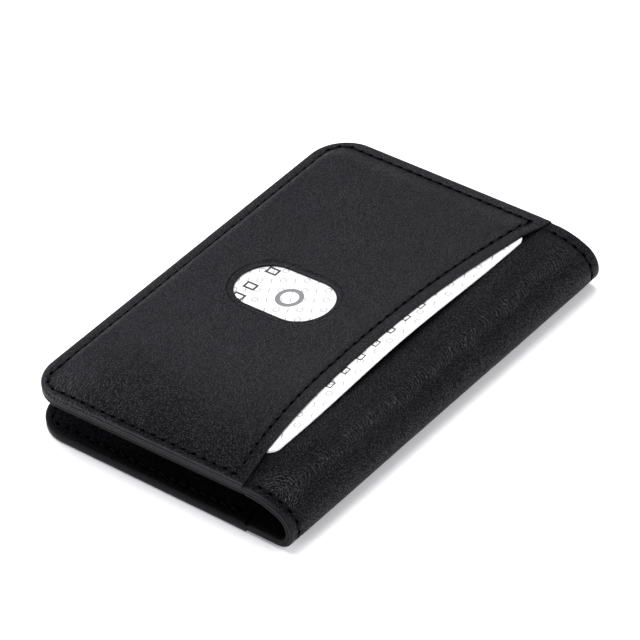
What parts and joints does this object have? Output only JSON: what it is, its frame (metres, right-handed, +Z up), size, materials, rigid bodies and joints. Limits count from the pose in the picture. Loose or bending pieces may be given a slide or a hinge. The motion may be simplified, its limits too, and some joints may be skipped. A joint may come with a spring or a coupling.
{
  "type": "card holder",
  "caption": "Folding leather card holder, closed, with outer pockets on both halves, curved pocket mouths, a thumb window in the front and a card in the front pocket.",
  "frame": {"origin": "centre of the footprint on the resting face under the back", "axes": "+X from the open edge towards the fold, +Y along the fold, +Z up through the closed holder"},
  "size_m": [0.0707, 0.1032, 0.0133],
  "materials": {
    "cover_leather": "smooth black leather, fine grain",
    "pocket_leather": "smooth black leather, fine grain",
    "lining_leather": "thin matt black leather",
    "inner_leather": "thin black leather",
    "thread": "waxed black thread",
    "board": "bonded leather board",
    "card_plastic": "white card, faint grey print"
  },
  "bodies": {
    "back": {"cover_back": "cover_leather", "outer_pocket_back": "pocket_leather", "lining_back": "lining_leather", "stiffener_back": "board", "inner_pocket_back": "inner_leather", "edge_stitching_back": "thread", "mouth_stitching_back": "thread", "inner_mouth_stitching_back": "thread"},
    "fold_low": {"cover_fold_low": "cover_leather", "lining_fold_low": "lining_leather", "fold_stitching_low": "thread"},
    "fold_mid": {"cover_fold_mid": "cover_leather", "lining_fold_mid": "lining_leather", "fold_stitching_mid": "thread"},
    "fold_high": {"cover_fold_high": "cover_leather", "lining_fold_high": "lining_leather", "fold_stitching_high": "thread"},
    "front": {"cover_front": "cover_leather", "outer_pocket_front": "pocket_leather", "lining_front": "lining_leather", "stiffener_front": "board", "inner_pocket_front": "inner_leather", "edge_stitching_front": "thread", "mouth_stitching_front": "thread", "inner_mouth_stitching_front": "thread"},
    "card": {"insert_card": "card_plastic"}
  },
  "joints": [
    {"name": "fold_hinge_1", "type": "hinge", "parent": "back", "child": "fold_low", "pos_m": [0.03281, 0, 0.00065], "axis": [0, 1, 0], "range_deg": [-1.2, 45]},
    {"name": "fold_hinge_2", "type": "hinge", "parent": "fold_low", "child": "fold_mid", "pos_m": [0.0352, 0, 0.00304], "axis": [0, 1, 0], "range_deg": [-1.2, 45]},
    {"name": "fold_hinge_3", "type": "hinge", "parent": "fold_mid", "child": "fold_high", "pos_m": [0.0352, 0, 0.00718], "axis": [0, 1, 0], "range_deg": [-1.2, 45]},
    {"name": "fold_hinge_4", "type": "hinge", "parent": "fold_high", "child": "front", "pos_m": [0.03052, 0, 0.01187], "axis": [0, 1, 0], "range_deg": [-1.2, 45]},
    {"name": "card_slide", "type": "slide", "parent": "front", "child": "card", "axis": [0.9999, 0, 0.014], "range_m": [0, 0.032]}
  ],
  "couplings": [
    {"joint": "fold_hinge_2", "follows": "fold_hinge_1", "ratio": 1},
    {"joint": "fold_hinge_3", "follows": "fold_hinge_1", "ratio": 1},
    {"joint": "fold_hinge_4", "follows": "fold_hinge_1", "ratio": 1}
  ]
}
